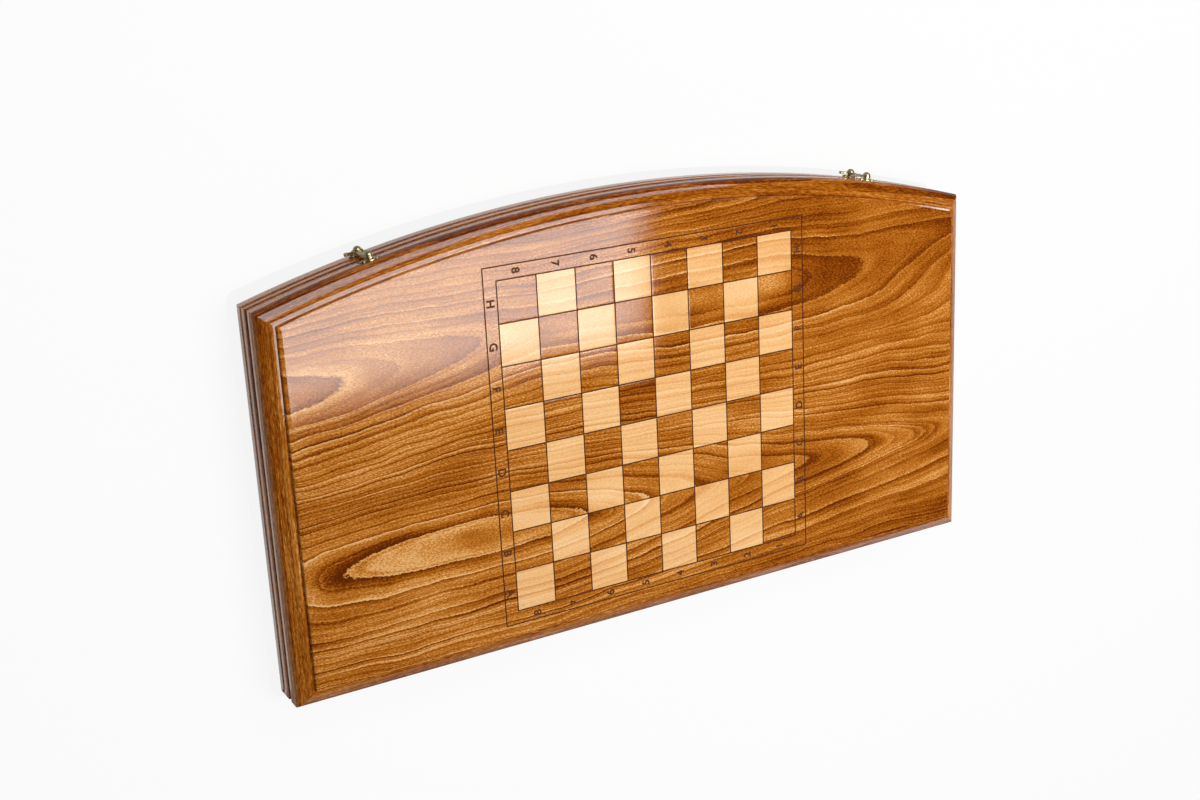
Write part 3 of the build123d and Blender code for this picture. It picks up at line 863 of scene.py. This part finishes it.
def white_paper():
    """White paper that the camera sees almost shadowless. Reflections see it in bands, by the
    distance in mm to the case's outline: white to 3.6, dark to 5.1, white to 7.6, nearly dark
    to 500 and white again from 900; the dark bands are a painted shadow of the case, and the
    paper's own colour is painted darker near the case as well. Distances beyond the ends count
    1.466 times, and all are divided by one less 0.00155 times x, which widens the bands towards
    the left.
    From 1.5 to 4.5 metres off the paper turns into the same plain white as the backdrop."""
    material = bpy.data.materials.new("white_paper")
    material.use_nodes = True
    tree = material.node_tree
    tree.nodes.clear()
    x, y, _ = place_on_board(tree)
    from_centre = y - arch_centre_y
    behind = (x * x + from_centre * from_centre).step("SQRT") - (arch_radius + moulding_width)
    before = y * -1.0 + (face_low - moulding_width)
    outside = behind.step("MAXIMUM", before).step("MAXIMUM", 0.0)
    beside = (x.step("ABSOLUTE") - (half_width + moulding_width)).step("MAXIMUM", 0.0)
    widen = (1.0 - x * 0.00155).step("MAXIMUM", 0.4)
    distance = (beside * beside * 2.15 + outside * outside).step("SQRT") / widen
    # Painted shadow of the case: dark bands in what reflections see, and a darker paper colour near
    # the case.
    under = falling(distance, 3.6, 2.5)
    clear = rising(distance, 5.1, 2.0)
    dim = rising(distance, 7.6, 2.0) * falling(distance, 900.0, 0.0025) * 0.85
    far = rising(distance, 1500.0, 1.0 / 3000.0)
    rays = tree.nodes.new("ShaderNodeLightPath")
    through = Field(rays.outputs["Is Transmission Ray"])
    mirrored = Field(rays.outputs["Is Glossy Ray"]).step("MAXIMUM", through)
    shown = (clear - dim).step("MAXIMUM", under)
    seen = Field(rays.outputs["Is Camera Ray"]).step("MAXIMUM", mirrored * shown)
    paper = tree.nodes.new("ShaderNodeBsdfDiffuse")
    tree.links.new(grey(clear * 0.72 - dim * mirrored * 0.7 + 0.08), paper.inputs["Color"])
    glow = tree.nodes.new("ShaderNodeEmission")
    glow.inputs["Color"].default_value = (1.0, 1.0, 1.0, 1.0)
    mix = tree.nodes.new("ShaderNodeMixShader")
    tree.links.new((seen * (far * 0.1 + 0.9)).socket, mix.inputs[0])
    tree.links.new(paper.outputs[0], mix.inputs[1])
    tree.links.new(glow.outputs[0], mix.inputs[2])
    out = tree.nodes.new("ShaderNodeOutputMaterial")
    tree.links.new(mix.outputs[0], out.inputs["Surface"])
    return material


stage_floor(white_paper())


def soft_light(name, size_x, size_y, power, place, turn):
    """Flat soft light, unseen by the camera itself, that shines along its own downward axis."""
    lamp = bpy.data.lights.new(name, "AREA")
    lamp.shape = "RECTANGLE"
    lamp.size = size_x
    lamp.size_y = size_y
    lamp.energy = power
    carrier = bpy.data.objects.new(name, lamp)
    carrier.location = place
    carrier.rotation_euler = turn
    carrier.visible_camera = False
    bpy.context.scene.collection.objects.link(carrier)


soft_light(
    "softbox", softbox_x[1] - softbox_x[0], softbox_y[1] - softbox_y[0], 19.0,
    (sum(softbox_x) / 2, sum(softbox_y) / 2, softbox_height), (0, 0, 0),
)
soft_light("rear_softbox", 2.45, 0.7, 24.0, (0.425, 1.45, softbox_height), (0, 0, 0))
soft_light("front_board", 3.0, 1.3, 11.0, (-0.5, -2.0, 0.85), (math.pi / 2, 0, 0))
soft_light("side_strip", 0.06, 0.5, 1.5, (1.4, 0.37, 1.02), (-0.695, 0.599, -0.731))

# The backdrop is plain white to the camera and a dim, faintly blue room to all other rays.
world = bpy.data.worlds.new("studio")
bpy.context.scene.world = world
world.use_nodes = True
tree = world.node_tree
tree.nodes.clear()
rays = tree.nodes.new("ShaderNodeLightPath")
room = tree.nodes.new("ShaderNodeBackground")
room.inputs["Color"].default_value = (0.9, 0.93, 1.0, 1.0)
room.inputs["Strength"].default_value = 0.03
sky = tree.nodes.new("ShaderNodeBackground")
sky.inputs["Color"].default_value = (1.0, 1.0, 1.0, 1.0)
sky.inputs["Strength"].default_value = 1.0
mix = tree.nodes.new("ShaderNodeMixShader")
tree.links.new(rays.outputs["Is Camera Ray"], mix.inputs[0])
tree.links.new(room.outputs[0], mix.inputs[1])
tree.links.new(sky.outputs[0], mix.inputs[2])
out = tree.nodes.new("ShaderNodeOutputWorld")
tree.links.new(mix.outputs[0], out.inputs["Surface"])
